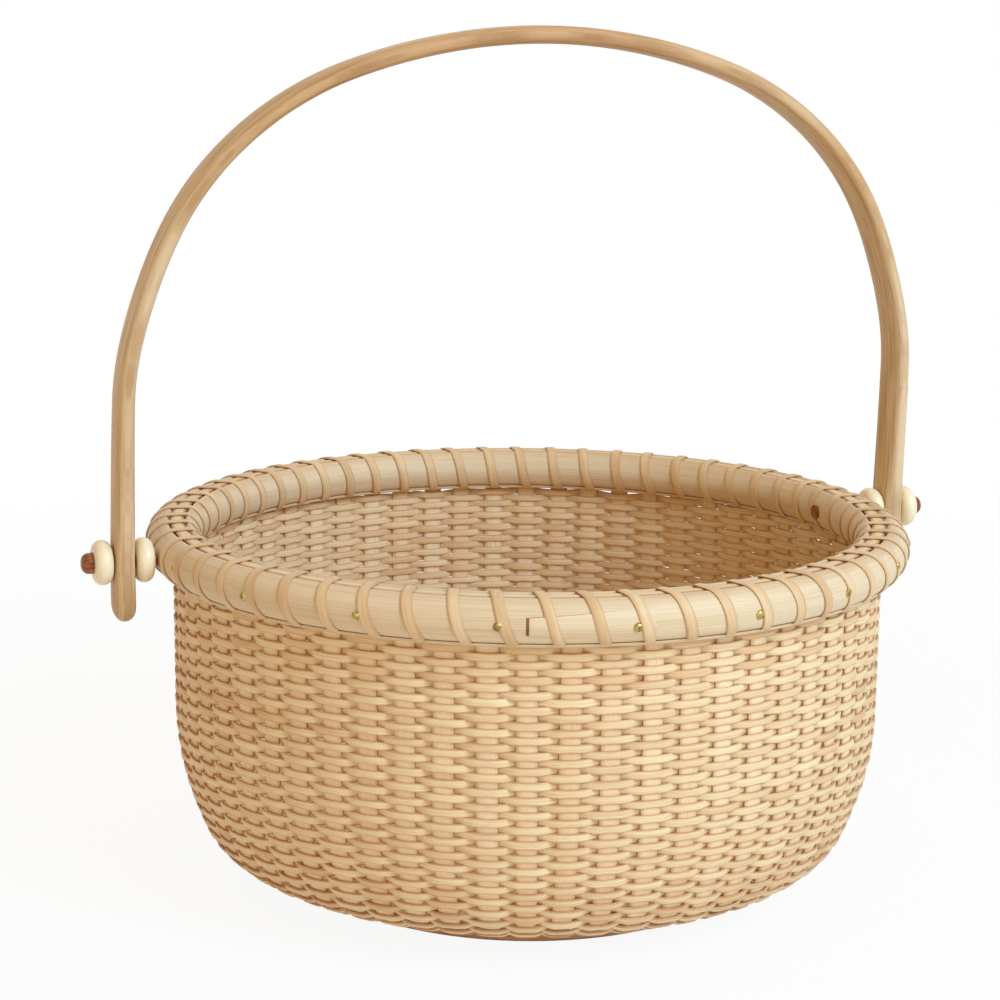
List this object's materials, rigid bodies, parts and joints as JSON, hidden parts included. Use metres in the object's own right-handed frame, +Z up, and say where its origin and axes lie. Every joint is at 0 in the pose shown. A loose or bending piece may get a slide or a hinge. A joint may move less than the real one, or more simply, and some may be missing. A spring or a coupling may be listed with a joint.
{
  "type": "woven wicker basket",
  "caption": "Round open basket of woven cane on upright staves, with a turned wooden base, a lashed double rim and a wooden bail that swings on pegs.",
  "frame": {"origin": "middle of the base's underside, on the surface that the basket stands on", "axes": "+Z up, X along the bail's pivot axis, Y square to the upright bail"},
  "size_m": [0.2778, 0.2356, 0.261],
  "materials": {
    "base_wood": "turned, oiled",
    "stave_cane": "split rattan, satin",
    "weaver_cane": "cane, satin gloss",
    "rim_wood": "bent, satin",
    "lashing_cane": "flat cane, satin",
    "peg_wood": "dark, polished",
    "washer_bone": "polished, bone coloured",
    "bail_wood": "bent, waxed"
  },
  "bodies": {
    "basket": {"base_disc": "base_wood", "staves": "stave_cane", "lower_weave": "weaver_cane", "upper_weave": "weaver_cane", "outer_rim_hoop": "rim_wood", "inner_rim_hoop": "rim_wood", "rim_filler": "weaver_cane", "rim_lashing": "lashing_cane", "right_pivot_peg": "peg_wood", "left_pivot_peg": "peg_wood", "right_inner_washer": "washer_bone", "left_inner_washer": "washer_bone", "right_outer_washer": "washer_bone", "left_outer_washer": "washer_bone"},
    "bail": {"bail_handle": "bail_wood"}
  },
  "joints": [
    {"name": "bail_swing", "type": "hinge", "parent": "basket", "child": "bail", "pos_m": [0, 0, 0.1067], "axis": [1, 0, 0], "range_deg": [-125, 125]}
  ]
}
